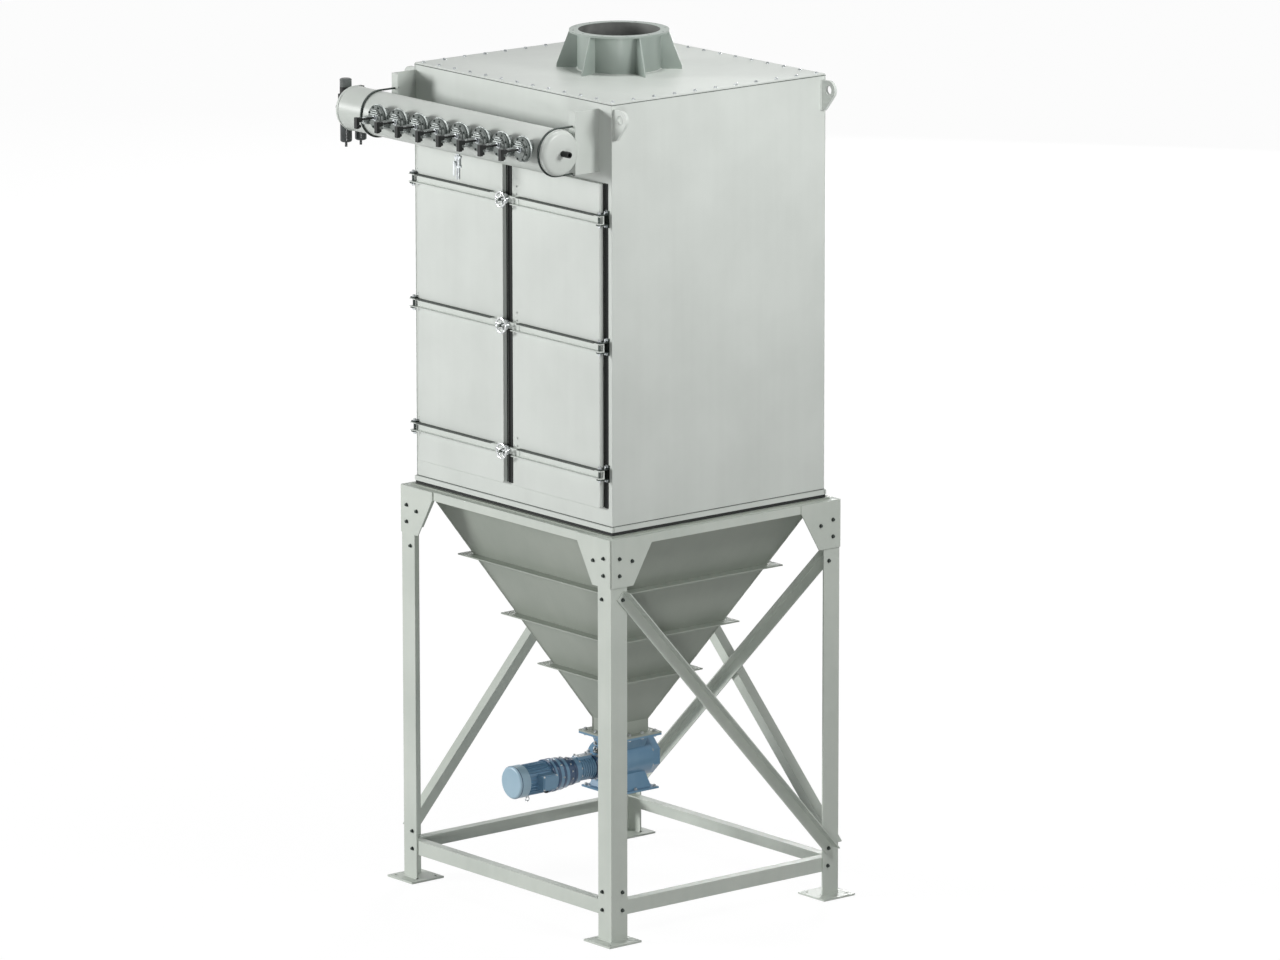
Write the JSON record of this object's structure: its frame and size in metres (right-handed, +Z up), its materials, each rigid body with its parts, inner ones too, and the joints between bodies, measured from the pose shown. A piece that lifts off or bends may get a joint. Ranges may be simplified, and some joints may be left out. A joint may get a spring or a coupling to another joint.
{
  "type": "pulse-jet dust collector",
  "caption": "Pulse-jet bag dust collector on a braced angle-iron stand, with a pyramid hopper, rotary valve, air header with pulse valves, clamped doors and roof outlet.",
  "frame": {"origin": "floor level, in the middle of the four foot plates and their anchor bolts", "axes": "+Z up; -Y is the door side with the air header; +X is to the right when facing the doors"},
  "size_m": [2.388, 2.4625, 5.382],
  "materials": {
    "casing_paint": "satin grey-green enamel",
    "frame_paint": "satin grey-green enamel",
    "hopper_paint": "satin darker grey-green enamel",
    "drive_blue": "gloss blue machine enamel",
    "rotor_steel": "machined steel",
    "zinc_steel": "zinc-plated steel",
    "polished_wheel": "polished bright metal",
    "valve_alloy": "cast, dull grey-green",
    "black_plastic": "moulded, matt",
    "bowl_plastic": "moulded, smoke grey",
    "seal_rubber": "black sponge rubber"
  },
  "bodies": {
    "collector": {"wall_left": "casing_paint", "wall_right": "casing_paint", "wall_back": "casing_paint", "wall_front_top": "casing_paint", "wall_front_bottom": "casing_paint", "door_posts": "casing_paint", "roof": "casing_paint", "tube_sheet": "casing_paint", "outlet_collar": "casing_paint", "lifting_lugs": "casing_paint", "door_left": "casing_paint", "door_right": "casing_paint", "clamp_bars_left": "casing_paint", "clamp_bars_right": "casing_paint", "header_tank": "casing_paint", "tank_brackets": "casing_paint", "leg_front_left": "frame_paint", "leg_front_right": "frame_paint", "leg_back_left": "frame_paint", "leg_back_right": "frame_paint", "top_beams": "frame_paint", "lower_beams": "frame_paint", "gusset_plates": "frame_paint", "brace_right": "frame_paint", "brace_left": "frame_paint", "brace_back_rising": "frame_paint", "brace_back_falling": "frame_paint", "hopper_front": "hopper_paint", "hopper_back": "hopper_paint", "hopper_left": "hopper_paint", "hopper_right": "hopper_paint", "hopper_neck": "hopper_paint", "valve_body": "drive_blue", "valve_covers": "drive_blue", "lantern": "drive_blue", "reducer": "drive_blue", "motor": "drive_blue", "fan_cover": "drive_blue", "rotor": "rotor_steel", "hinge_brackets": "zinc_steel", "wheel_studs": "zinc_steel", "u_bolts": "zinc_steel", "air_socket": "zinc_steel", "blow_pipes": "zinc_steel", "drain_valve": "zinc_steel", "pulse_valves": "valve_alloy", "solenoids": "black_plastic", "air_unit": "black_plastic", "air_bowls": "bowl_plastic", "door_seals": "seal_rubber"},
    "handwheel_top": {"handwheel_top": "polished_wheel"},
    "handwheel_middle": {"handwheel_middle": "polished_wheel"},
    "handwheel_bottom": {"handwheel_bottom": "polished_wheel"},
    "drain_lever": {"drain_lever": "zinc_steel"},
    "regulator_knob": {"regulator_knob": "black_plastic"}
  },
  "joints": [
    {"name": "handwheel_bottom_turn", "type": "hinge", "parent": "collector", "child": "handwheel_bottom", "pos_m": [0, -0.9258, 2.889], "axis": [0, -1, 0], "continuous": true},
    {"name": "handwheel_middle_turn", "type": "hinge", "parent": "collector", "child": "handwheel_middle", "pos_m": [0, -0.9258, 3.665], "axis": [0, -1, 0], "continuous": true},
    {"name": "handwheel_top_turn", "type": "hinge", "parent": "collector", "child": "handwheel_top", "pos_m": [0, -0.9258, 4.441], "axis": [0, -1, 0], "continuous": true},
    {"name": "drain_lever_turn", "type": "hinge", "parent": "collector", "child": "drain_lever", "pos_m": [-0.15, -1.1608, 4.67353], "axis": [0, -1, 0], "range_deg": [0, 90]},
    {"name": "regulator_knob_turn", "type": "hinge", "parent": "collector", "child": "regulator_knob", "pos_m": [-1.256, -1.1305, 4.984], "axis": [0, 0, 1], "range_deg": [-360, 360]}
  ]
}
